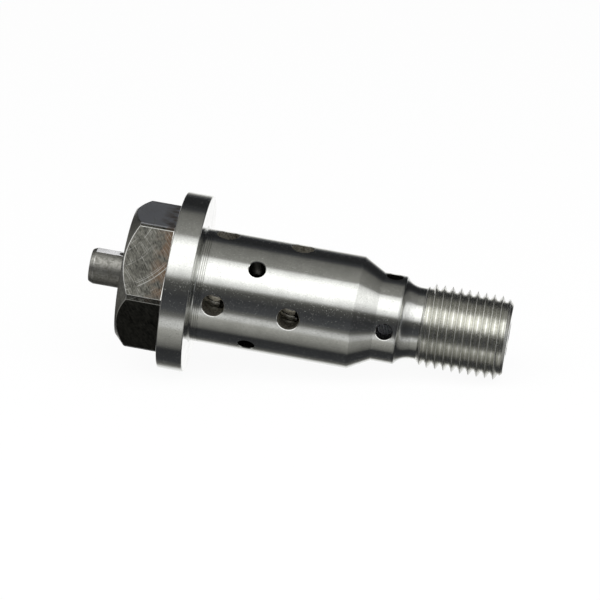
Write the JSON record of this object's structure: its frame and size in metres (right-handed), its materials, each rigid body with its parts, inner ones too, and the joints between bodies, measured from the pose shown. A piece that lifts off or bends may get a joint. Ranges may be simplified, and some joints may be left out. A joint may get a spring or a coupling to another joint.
{
  "type": "cartridge valve",
  "caption": "Hollow bolt valve with a flanged hexagon head, ported barrel, threaded end and a sprung spool whose nose sticks out of the head.",
  "frame": {"origin": "centre of the flange's seating face, on the valve's axis", "axes": "+X along the valve's axis towards the threaded end, -X towards the spool nose, +Z through the middle of a hexagon flat and through a hole of rows A, B and supply"},
  "size_m": [0.0758, 0.032, 0.032],
  "materials": {
    "bolt_steel": "turned and lightly oiled",
    "sleeve_steel": "ground",
    "spool_steel": "ground and polished",
    "nose_steel": "satin ground",
    "spring_steel": "drawn wire",
    "pressed_steel": "stamped",
    "ball_steel": "polished",
    "moulded_nylon": "moulded",
    "woven_steel": "woven wire"
  },
  "bodies": {
    "valve_housing": {"valve_body": "bolt_steel", "control_sleeve": "sleeve_steel", "locating_pin": "sleeve_steel", "stop_washer": "pressed_steel", "disc_spring": "spring_steel", "retaining_ring": "spring_steel", "return_spring": "spring_steel", "spring_plate": "pressed_steel", "load_shim": "pressed_steel", "check_cage": "pressed_steel", "check_spring": "spring_steel", "check_seat": "sleeve_steel", "filter_frame": "moulded_nylon", "filter_screen": "woven_steel"},
    "control_spool": {"spool": "spool_steel", "spool_nose": "nose_steel", "spool_plug": "nose_steel"},
    "ball": {"check_ball": "ball_steel"}
  },
  "joints": [
    {"name": "spool_slide", "type": "slide", "parent": "valve_housing", "child": "control_spool", "axis": [1, 0, 0], "range_m": [0, 0.003], "stiffness_N_per_m": 1400, "springref_m": -0.0035, "deforming": ["return_spring"]},
    {"name": "check_ball_lift", "type": "slide", "parent": "valve_housing", "child": "ball", "axis": [-1, 0, 0], "range_m": [0, 0.0008], "stiffness_N_per_m": 190, "springref_m": -0.0004, "deforming": ["check_spring"]}
  ]
}
